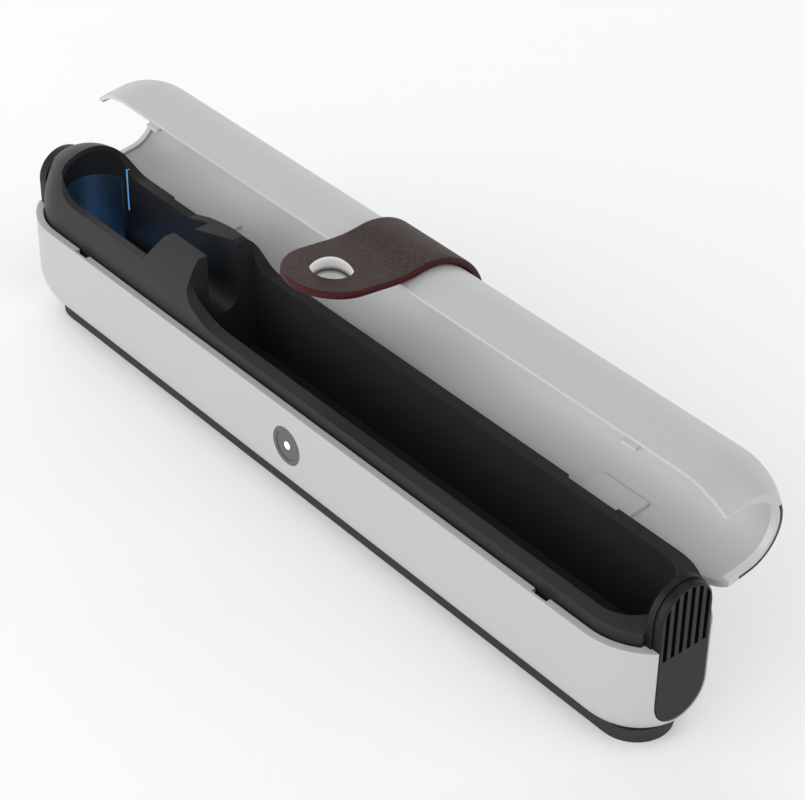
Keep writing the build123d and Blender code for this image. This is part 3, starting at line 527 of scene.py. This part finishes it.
def strap_mesh(sizes):
    """Closed leather sheet with round painted edges, bent to its rest shape."""
    mesh = bmesh.new()
    paint = mesh.verts.layers.float.new("edge_paint")
    hide = mesh.loops.layers.uv.new("hide")
    flat = {}

    def point(run, across, height, edge):
        (y, z), out = strap_station(sizes, run)
        y, z = shut_to_open(y + out[0] * height, z + out[1] * height)
        vert = mesh.verts.new((across, y, z))
        vert[paint] = edge
        flat[vert] = (across, run)
        return vert

    def face_sheet(height):
        """One flat face of the leather, and the loop of points round it."""
        grid = []
        for run, half in rows:
            line = []
            for step in range(columns + 1):
                across = half * (2 * step / columns - 1)
                line.append(point(run, across, height, 0.0))
            grid.append(line)
        tip = point(tip_run, 0.0, height, 0.0)
        for low, high in zip(grid, grid[1:]):
            for step in range(columns):
                mesh.faces.new((low[step], low[step + 1], high[step + 1], high[step]))
        last = grid[-1]
        for step in range(columns):
            mesh.faces.new((last[step], last[step + 1], tip))
        left = [line[0] for line in reversed(grid[1:])]
        return grid[0] + [line[-1] for line in grid[1:]] + [tip] + left

    def edge_ring(out, height):
        """Painted points outside the top face's loop."""
        ring = []
        for vert in top:
            across, run = flat[vert]
            ahead, aside = (1.0, 0.0)
            if run < tip_run:
                ahead, aside = flat_outward(sizes, run, across)
            ring.append(point(run + ahead * out, across + aside * out, height, 1.0))
        return ring

    columns = 24
    round_steps = 6
    rows, tip_run = strap_rows(sizes)
    half_thick = sizes.thickness / 2
    rise = half_thick - sizes.edge_round
    top, bottom = face_sheet(half_thick), face_sheet(-half_thick)
    upper_edge = []
    for step in range(1, round_steps + 1):
        turn = pi / 2 * step / round_steps
        upper_edge.append((sizes.edge_round * sin(turn), rise + sizes.edge_round * cos(turn)))
    lower_edge = [(out, -height) for out, height in reversed(upper_edge)]
    rings = [top, *(edge_ring(*place) for place in upper_edge + lower_edge), bottom]
    for upper, lower in zip(rings, rings[1:]):
        for step in range(len(upper)):
            after = (step + 1) % len(upper)
            mesh.faces.new((upper[step], upper[after], lower[after], lower[step]))
    bmesh.ops.recalc_face_normals(mesh, faces=mesh.faces)
    for face in mesh.faces:
        for corner in face.loops:
            corner[hide].uv = flat[corner.vert]
    data = bpy.data.meshes.new("leather_strap")
    mesh.to_mesh(data)
    mesh.free()
    smooth(data, 60)
    return data


def make_strap():
    sizes = bpy.context.scene.strap_sizes
    colours = bpy.context.scene.case_colours
    strap = new_object("leather_strap", strap_mesh(sizes))
    strap.data.materials.append(strap_leather(colours))
    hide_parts("strap_band", "strap_flap")
    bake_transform(strap)


# Screws


def screw_mesh(sizes):
    """Pan head with a cross recess and a threaded shank, seated at the origin and facing up."""
    flat_share, wall_share, crown_steps = 0.72, 0.45, 6
    core_share, point_share, threads = 0.8, 0.4, 9
    recess_floor_share = 0.6
    mesh = bmesh.new()
    sides = sizes.sides
    arm = sizes.recess_width / 2
    reach = sizes.recess_reach
    cross = [
        (reach, -arm), (reach, arm), (arm, arm), (arm, reach), (-arm, reach), (-arm, arm),
        (-reach, arm), (-reach, -arm), (-arm, -arm), (-arm, -reach), (arm, -reach), (arm, -arm),
    ]

    def ring(radius, z):
        made = []
        for step in range(sides):
            turn = 2 * pi * step / sides
            made.append(mesh.verts.new((radius * cos(turn), radius * sin(turn), z)))
        return made

    def skirt(upper, lower):
        for step in range(len(upper)):
            after = (step + 1) % len(upper)
            mesh.faces.new((upper[step], lower[step], lower[after], upper[after]))

    rings = []
    for step in range(crown_steps + 1):
        turn = step / crown_steps * pi / 2
        radius = sizes.head_radius * (flat_share + (1 - flat_share) * sin(turn))
        z = sizes.head_height * (wall_share + (1 - wall_share) * cos(turn))
        rings.append(ring(radius, z))
    rings.append(ring(sizes.head_radius, 0.0))
    rings.append(ring(sizes.shank_radius, 0.0))
    quarter = sizes.shank_length / threads / 4
    for step in range(threads):
        z = -sizes.shank_length * (step + 0.5) / threads
        rings.append(ring(sizes.shank_radius * core_share, z + quarter))
        rings.append(ring(sizes.shank_radius, z - quarter))
    rings.append(ring(sizes.shank_radius * point_share, -sizes.shank_length))
    for upper, lower in zip(rings, rings[1:]):
        skirt(upper, lower)
    mesh.faces.new(reversed(rings[-1]))
    top = [mesh.verts.new((x, y, sizes.head_height)) for x, y in cross]
    floor_z = sizes.head_height - sizes.recess_depth
    share = recess_floor_share
    floor = [mesh.verts.new((x * share, y * share, floor_z)) for x, y in cross]
    skirt(top, floor)
    mesh.faces.new(floor)
    edges = []
    for loop in (rings[0], top):
        for step in range(len(loop)):
            pair = (loop[step], loop[(step + 1) % len(loop)])
            edges.append(mesh.edges.get(pair) or mesh.edges.new(pair))
    bmesh.ops.triangle_fill(mesh, use_beauty=True, edges=edges)
    bmesh.ops.recalc_face_normals(mesh, faces=mesh.faces)
    data = bpy.data.meshes.new("pan_screw")
    mesh.to_mesh(data)
    mesh.free()
    smooth(data, 35)
    return data


def screw_setter():
    """Geometry Nodes tree that sets one screw on every point and finishes it."""
    tree = bpy.data.node_groups.new("set screws", "GeometryNodeTree")
    socket(tree, "Points", "Geometry")
    socket(tree, "Screw", "Object")
    socket(tree, "Turn", "Float", value=0.7)
    socket(tree, "Seed", "Int", value=3)
    socket(tree, "Finish", "Material")
    socket(tree, "Screws", "Geometry", "OUTPUT")
    given = add(tree, "NodeGroupInput", (-700, 0))
    result = add(tree, "NodeGroupOutput", (700, 0))
    shape = add(tree, "GeometryNodeObjectInfo", (-450, -150))
    turns = add(tree, "FunctionNodeRandomValue", (-450, -350), data_type="FLOAT_VECTOR")
    low, high = turns.inputs["Min"], turns.inputs["Max"]
    low.default_value = (0.0, 0.0, 0.0)
    reach = add(tree, "ShaderNodeCombineXYZ", (-600, -350))
    copies = add(tree, "GeometryNodeInstanceOnPoints", (-150, 0))
    real = add(tree, "GeometryNodeRealizeInstances", (100, 0))
    finish = add(tree, "GeometryNodeSetMaterial", (350, 0))
    link = tree.links.new
    link(given.outputs["Screw"], shape.inputs["Object"])
    link(given.outputs["Turn"], reach.inputs["Z"])
    link(reach.outputs[0], high)
    link(given.outputs["Seed"], turns.inputs["Seed"])
    link(given.outputs["Points"], copies.inputs["Points"])
    link(shape.outputs["Geometry"], copies.inputs["Instance"])
    link(turns.outputs["Value"], copies.inputs["Rotation"])
    link(copies.outputs["Instances"], real.inputs["Geometry"])
    link(real.outputs["Geometry"], finish.inputs["Geometry"])
    link(given.outputs["Finish"], finish.inputs["Material"])
    link(finish.outputs["Geometry"], result.inputs["Screws"])
    return tree


def set_inputs(modifier, **values):
    """Set a modifier's inputs by the identifiers of its tree's sockets."""
    for item in modifier.node_group.interface.items_tree:
        key = item.name.replace(" ", "_")
        if item.in_out == "INPUT" and key in values:
            modifier[item.identifier] = values[key]


def bake_modifiers(piece, name):
    """Give a piece the plain mesh that its modifiers make, and take them off."""
    view = bpy.context.evaluated_depsgraph_get()
    data = bpy.data.meshes.new_from_object(piece.evaluated_get(view))
    data.name = name
    piece.modifiers.clear()
    piece.data = data


def screw_row(name, node, places, finish):
    """Screws at the given seats in place of a CAD node."""
    sizes = bpy.context.scene.screw_sizes
    points = bpy.data.meshes.new(name)
    points.from_pydata(places, [], [])
    row = new_object(name, points)
    shape = new_object(name + "_shape", screw_mesh(sizes))
    tree = bpy.data.node_groups.get("set screws") or screw_setter()
    modifier = row.modifiers.new("screws", "NODES")
    modifier.node_group = tree
    set_inputs(modifier, Screw=shape, Finish=finish, Turn=1.3, Seed=5)
    bake_modifiers(row, name)
    bpy.data.objects.remove(shape)
    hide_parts(node)
    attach(row, "base")


def middles(name, gap):
    """Middle along X of each separate piece of a CAD node, where pieces lie a gap apart."""
    reach = sorted(vert.co.x for vert in frame["nodes"][name].data.vertices)
    spans = [[reach[0], reach[0]]]
    for x in reach:
        if x - spans[-1][1] > gap:
            spans.append([x, x])
        spans[-1][1] = x
    return [(low + high) / 2 for low, high in spans]


def make_screws():
    steel = drawn_metal("screw steel", (0.32, 0.32, 0.33), 0.32, stretch=(900.0, 900.0, 900.0))
    sizes = bpy.context.scene.screw_sizes
    for node in ("tray_screws", "board_screws"):
        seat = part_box(node)[1].z - sizes.head_height
        places = [(x, 0.0, seat) for x in middles(node, 2 * sizes.head_radius)]
        screw_row(node + "_cross_head", node, places, steel)


# Finishes of the CAD pieces


def lit_plastic(name, glow, strength, body=(0.2, 0.35, 0.5)):
    """Clear plastic or quartz that is lit from behind."""
    material, tree, shader = start_material(name)
    place = add(tree, "ShaderNodeTexCoord", (-700, 0))
    mist = put(add(tree, "ShaderNodeTexNoise", (-500, 0)), Scale=220.0, Detail=2.0)
    level = put(add(tree, "ShaderNodeMapRange", (-300, 0)), To_Min=0.7, To_Max=1.0)
    tint = add(tree, "ShaderNodeVectorMath", (-120, -100), operation="SCALE")
    tint.inputs[0].default_value = glow
    link = tree.links.new
    link(place.outputs["Object"], mist.inputs["Vector"])
    link(mist.outputs["Fac"], level.inputs["Value"])
    link(level.outputs["Result"], tint.inputs["Scale"])
    link(tint.outputs[0], shader.inputs["Emission Color"])
    put(shader, Base_Color=rgba(body), Roughness=0.15, Emission_Strength=strength)
    put(shader, Coat_Weight=0.5)
    return material


def spun_metal(name, metal_colour, centre):
    """Metal turned on a lathe: fine rings about the button's centre."""
    material, tree, shader = start_material(name)
    link = tree.links.new
    place = add(tree, "ShaderNodeTexCoord", (-1100, 0))
    moved = add(tree, "ShaderNodeMapping", (-900, 0))
    moved.inputs["Location"].default_value = [-value for value in centre]
    flat = add(tree, "ShaderNodeVectorMath", (-700, 0), operation="MULTIPLY")
    flat.inputs[1].default_value = (1.0, 0.0, 1.0)
    reach = add(tree, "ShaderNodeVectorMath", (-500, 0), operation="LENGTH")
    scaled = add(tree, "ShaderNodeMath", (-320, 0), operation="MULTIPLY")
    scaled.inputs[1].default_value = 9000.0
    rings = add(tree, "ShaderNodeTexNoise", (-140, 0), noise_dimensions="1D")
    put(rings, Scale=1.0, Detail=2.0)
    link(place.outputs["Object"], moved.inputs["Vector"])
    link(moved.outputs[0], flat.inputs[0])
    link(flat.outputs[0], reach.inputs[0])
    link(reach.outputs["Value"], scaled.inputs[0])
    link(scaled.outputs[0], rings.inputs["W"])
    tone = put(add(tree, "ShaderNodeMapRange", (60, 200)), To_Min=0.75, To_Max=1.2)
    tinted = add(tree, "ShaderNodeVectorMath", (240, 200), operation="SCALE")
    tinted.inputs[0].default_value = metal_colour
    link(rings.outputs["Fac"], tone.inputs["Value"])
    link(tone.outputs["Result"], tinted.inputs["Scale"])
    link(tinted.outputs[0], shader.inputs["Base Color"])
    gloss = put(add(tree, "ShaderNodeMapRange", (60, -50)), To_Min=0.3, To_Max=0.45)
    link(rings.outputs["Fac"], gloss.inputs["Value"])
    link(gloss.outputs["Result"], shader.inputs["Roughness"])
    bump = put(add(tree, "ShaderNodeBump", (60, -300)), Strength=0.3, Distance=0.00002)
    link(rings.outputs["Fac"], bump.inputs["Height"])
    link(bump.outputs["Normal"], shader.inputs["Normal"])
    put(shader, Metallic=0.9)
    return material


def finish_shells():
    colours = bpy.context.scene.case_colours
    dress(shell_plastic("satin shell plastic", colours.shell), "lower_shell")
    dress(lid_plastic(colours, bpy.context.scene.strap_sizes.crown_height), "lid_shell")
    trim = moulded("trim rubber", colours.trim, 0.5)
    dress(trim, "lid_trim_left", "lid_trim_right")
    # The pad's near-black colour also paints the contact shadow along the bottom of the case.
    pad = moulded("foot rubber", colours.pad, 0.7, grain=(1400.0, 0.5), tone=0.2, gloss=0.1)
    dress(pad, "base_pad")


def finish_tray():
    colours = bpy.context.scene.case_colours
    tray = moulded("tray plastic", colours.tray, 0.46, grain=(2600.0, 0.3), tone=0.12, gloss=0.1)
    put(tray.node_tree.nodes["Principled BSDF"], Specular_IOR_Level=0.28)
    dress(tray, "inner_tray")
    cap = moulded("cap plastic", colours.cap, 0.42, grain=(2200.0, 0.4), tone=0.15, gloss=0.1)
    put(cap.node_tree.nodes["Principled BSDF"], Specular_IOR_Level=0.24)
    dress(cap, "end_cap_left", "end_cap_right")


def finish_button():
    colours = bpy.context.scene.case_colours
    low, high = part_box("button_lens")
    centre = (low + high) / 2
    dress(spun_metal("spun button metal", colours.button, centre), "button_disc")
    dress(lit_plastic("button lens", (0.9, 0.95, 1.0), 0.9, (0.9, 0.92, 0.95)), "button_lens")
    dress(moulded("switch plastic", (0.03, 0.03, 0.03), 0.5), "tact_switches", "lid_switch")


def finish_hinges():
    colours = bpy.context.scene.case_colours
    leaf = moulded("painted leaf", colours.shell, 0.4, grain=(2600.0, 0.2))
    # Lid leaves and their screws take the lid's painted-light colour, to blend into its brightened
    # hollow.
    painted_light_leaf = moulded("pale leaf", colours.shell_painted_light, 0.4, grain=(2600.0, 0.2))
    pins = drawn_metal("pin steel", (0.55, 0.55, 0.56), 0.25, stretch=(60.0, 6000.0, 6000.0))
    for side in ("left", "right"):
        dress(leaf, "hinge_base_leaf_" + side)
        dress(painted_light_leaf, "hinge_lid_leaf_" + side)
        dress(pins, "hinge_pin_" + side)
    dress(leaf, "hinge_base_screws")
    dress(painted_light_leaf, "hinge_lid_screws")


def finish_snap():
    chrome, tree, shader = start_material("snap chrome")
    place = add(tree, "ShaderNodeTexCoord", (-700, 0))
    haze = put(add(tree, "ShaderNodeTexNoise", (-500, 0)), Scale=700.0, Detail=4.0)
    level = put(add(tree, "ShaderNodeMapRange", (-300, 0)), To_Min=0.04, To_Max=0.12)
    link = tree.links.new
    link(place.outputs["Object"], haze.inputs["Vector"])
    link(haze.outputs["Fac"], level.inputs["Value"])
    link(level.outputs["Result"], shader.inputs["Roughness"])
    put(shader, Base_Color=(0.42, 0.413, 0.406, 1.0), Metallic=1.0)
    dress(chrome, "snap_cap", "strap_rivets")
    plating = drawn_metal("magnet plating", (0.5, 0.49, 0.47), 0.3, stretch=(900.0, 900.0, 900.0))
    dress(plating, "snap_magnet")


def finish_lamp():
    colours = bpy.context.scene.case_colours
    dress(lit_plastic("lamp window", colours.glow, 0.7), "uv_window")
    # Painted highlight: the light guide glows to draw the blue lit line at the corner of the
    # chamber's back wall.
    dress(lit_plastic("light guide", colours.glow, 0.9), "uv_light_guide")
    upright = (6000.0, 6000.0, 60.0)
    # Painted light: the reflector's dark blue tint stands in for the lamp's blue light on the
    # sheet.
    sheet = drawn_metal("reflector sheet", (0.16, 0.22, 0.28), 0.4, stretch=upright)
    dress(sheet, "uv_reflector")
    dress(moulded("emitter ceramic", (0.7, 0.68, 0.6), 0.5), "uv_leds", "indicator_led")


def finish_electronics():
    board = moulded("board laminate", (0.01, 0.09, 0.04), 0.35, (900.0, 0.3), tone=0.3, gloss=0.1)
    dress(board, "main_board", "uv_board", "button_board")
    dress(moulded("chip resin", (0.02, 0.02, 0.022), 0.45), "board_chips")
    wrap = moulded("battery wrap", (0.35, 0.37, 0.4), 0.3, (300.0, 0.5), tone=0.1, gloss=0.1)
    dress(wrap, "battery")
    foam = moulded("foam", (0.05, 0.05, 0.05), 0.95, grain=(1200.0, 1.0), tone=0.3, gloss=0.0)
    dress(foam, "battery_pads")
    port = drawn_metal("port sleeve", (0.55, 0.55, 0.57), 0.3, stretch=(60.0, 6000.0, 6000.0))
    dress(port, "charge_port")


# Stage


def soft_light(name, place, target, size, power):
    """Square area light that shines from one place to another."""
    data = bpy.data.lights.new(name, "AREA")
    data.shape = "RECTANGLE"
    data.size = data.size_y = size
    data.energy = power
    lamp = new_object(name, data)
    aim = (Vector(target) - Vector(place)).to_track_quat("-Z", "Y")
    lamp.matrix_world = Matrix.Translation(place) @ aim.to_matrix().to_4x4()


def make_camera(look):
    """Camera at the photograph's angle, solved from the case's vanishing points."""
    data = bpy.data.cameras.new("view")
    data.sensor_fit = "HORIZONTAL"
    data.sensor_width = 36.0
    data.lens = look.lens
    data.clip_start = 0.01
    camera = new_object("view", data)
    right = Vector((0.640, 0.768, 0.010)).normalized()
    back = Vector((0.620, -0.525, 0.583))
    back = (back - back.dot(right) * right).normalized()
    up = back.cross(right)
    turn = Matrix((right, up, back)).transposed().to_4x4()
    camera.matrix_world = Matrix.Translation((0.3534, -0.2786, 0.3485)) @ turn
    bpy.context.scene.camera = camera


def make_floor(look):
    reach = 3.0
    corners = [(-reach, -reach, 0), (reach, -reach, 0), (reach, reach, 0), (-reach, reach, 0)]
    mesh = bpy.data.meshes.new("floor")
    mesh.from_pydata(corners, [], [(0, 1, 2, 3)])
    paper = moulded("floor paper", look.floor, 0.6, grain=(400.0, 0.05), tone=0.0, gloss=0.05)
    shader = paper.node_tree.nodes["Principled BSDF"]
    put(shader, Emission_Color=(1.0, 1.0, 1.0, 1.0), Emission_Strength=0.05)
    mesh.materials.append(paper)
    new_object("floor", mesh)


def make_room(look):
    """White room, dimmer overhead, with a soft dark strip there that chrome mirrors."""
    strip_side = (0.785, -0.62, 0.0)
    strip_offset = 0.22
    world = bpy.data.worlds.new("room")
    world.use_nodes = True
    tree = world.node_tree
    link = tree.links.new
    room = tree.nodes["Background"]
    place = add(tree, "ShaderNodeTexCoord", (-800, 0))
    parts = add(tree, "ShaderNodeSeparateXYZ", (-600, 0))
    level = put(add(tree, "ShaderNodeMapRange", (-400, 0)), To_Min=look.skyline, To_Max=look.zenith)
    link(place.outputs["Generated"], parts.inputs[0])
    link(parts.outputs["Z"], level.inputs["Value"])
    across = add(tree, "ShaderNodeVectorMath", (-800, -300), operation="DOT_PRODUCT")
    across.inputs[1].default_value = strip_side
    shifted = add(tree, "ShaderNodeMath", (-700, -300), operation="ADD")
    shifted.inputs[1].default_value = strip_offset
    off = add(tree, "ShaderNodeMath", (-600, -300), operation="ABSOLUTE")
    strip = put(add(tree, "ShaderNodeMapRange", (-400, -300)), From_Min=0.03, From_Max=0.32)
    put(strip, To_Min=0.1, To_Max=1.0)
    link(place.outputs["Generated"], across.inputs[0])
    link(across.outputs["Value"], shifted.inputs[0])
    link(shifted.outputs[0], off.inputs[0])
    link(off.outputs[0], strip.inputs["Value"])
    both = add(tree, "ShaderNodeMath", (-200, 0), operation="MULTIPLY")
    link(level.outputs["Result"], both.inputs[0])
    link(strip.outputs["Result"], both.inputs[1])
    link(both.outputs[0], room.inputs["Strength"])
    put(room, Color=(1.0, 1.0, 1.0, 1.0))
    bpy.context.scene.world = world


def make_stage():
    look = bpy.context.scene.stage_look
    make_floor(look)
    make_room(look)
    soft_light("key", (-0.3, -0.85, 0.5), (0, 0, 0), 0.8, look.key)
    bpy.context.scene.view_settings.view_transform = "Standard"
    make_camera(look)


# Operators and panel


class CASE_OT_stage(Operator):
    """Set the floor, the lights and the camera"""

    bl_idname = "case.stage"
    bl_label = "Stage"

    def execute(self, context):
        make_stage()
        return {"FINISHED"}


class CASE_OT_shells(Operator):
    """Finish the base, the lid, their trim and the foot pad"""

    bl_idname = "case.shells"
    bl_label = "Shells"

    def execute(self, context):
        finish_shells()
        return {"FINISHED"}


class CASE_OT_tray(Operator):
    """Finish the tray and the end caps"""

    bl_idname = "case.tray"
    bl_label = "Tray and caps"

    def execute(self, context):
        finish_tray()
        return {"FINISHED"}


class CASE_OT_button(Operator):
    """Finish the power button and the switches"""

    bl_idname = "case.button"
    bl_label = "Power button"

    def execute(self, context):
        finish_button()
        return {"FINISHED"}


class CASE_OT_hinges(Operator):
    """Finish the hinges"""

    bl_idname = "case.hinges"
    bl_label = "Hinges"

    def execute(self, context):
        finish_hinges()
        return {"FINISHED"}


class CASE_OT_strap(Operator):
    """Make the leather strap"""

    bl_idname = "case.strap"
    bl_label = "Leather strap"

    def execute(self, context):
        make_strap()
        return {"FINISHED"}


class CASE_OT_snap(Operator):
    """Finish the snap cap, its magnet and the rivets"""

    bl_idname = "case.snap"
    bl_label = "Snap and rivets"

    def execute(self, context):
        finish_snap()
        return {"FINISHED"}


class CASE_OT_lamp(Operator):
    """Finish the lamp window, the light guide and the reflector"""

    bl_idname = "case.lamp"
    bl_label = "Lamp"

    def execute(self, context):
        finish_lamp()
        return {"FINISHED"}


class CASE_OT_electronics(Operator):
    """Finish the boards, the battery and the charging port"""

    bl_idname = "case.electronics"
    bl_label = "Electronics"

    def execute(self, context):
        finish_electronics()
        return {"FINISHED"}


class CASE_OT_screws(Operator):
    """Set the cross-head screws"""

    bl_idname = "case.screws"
    bl_label = "Screws"

    def execute(self, context):
        make_screws()
        return {"FINISHED"}


steps = (
    CASE_OT_stage,
    CASE_OT_shells,
    CASE_OT_tray,
    CASE_OT_button,
    CASE_OT_hinges,
    CASE_OT_strap,
    CASE_OT_snap,
    CASE_OT_lamp,
    CASE_OT_electronics,
    CASE_OT_screws,
)


class CASE_PT_steriliser(Panel):
    """Steps and sizes of the steriliser case"""

    bl_label = "Steriliser case"
    bl_idname = "CASE_PT_steriliser"
    bl_space_type = "VIEW_3D"
    bl_region_type = "UI"
    bl_category = "Steriliser"

    def draw(self, context):
        layout = self.layout
        for group in groups:
            box = layout.box()
            values = getattr(context.scene, group)
            for name in values.__annotations__:
                box.prop(values, name)
        for step in steps:
            layout.operator(step.bl_idname)


groups = {
    "case_colours": CaseColours,
    "strap_sizes": StrapSizes,
    "screw_sizes": ScrewSizes,
    "stage_look": StageLook,
}


def register():
    for kind in (*groups.values(), *steps, CASE_PT_steriliser):
        bpy.utils.register_class(kind)
    for name, kind in groups.items():
        setattr(bpy.types.Scene, name, PointerProperty(type=kind))


def unregister():
    for name in groups:
        delattr(bpy.types.Scene, name)
    for kind in reversed((*groups.values(), *steps, CASE_PT_steriliser)):
        bpy.utils.unregister_class(kind)


def main():
    register()
    bpy.ops.case.stage()
    bpy.ops.case.shells()
    bpy.ops.case.tray()
    bpy.ops.case.button()
    bpy.ops.case.hinges()
    bpy.ops.case.strap()
    bpy.ops.case.snap()
    bpy.ops.case.lamp()
    bpy.ops.case.electronics()
    bpy.ops.case.screws()


if __name__ == "__main__":
    main()
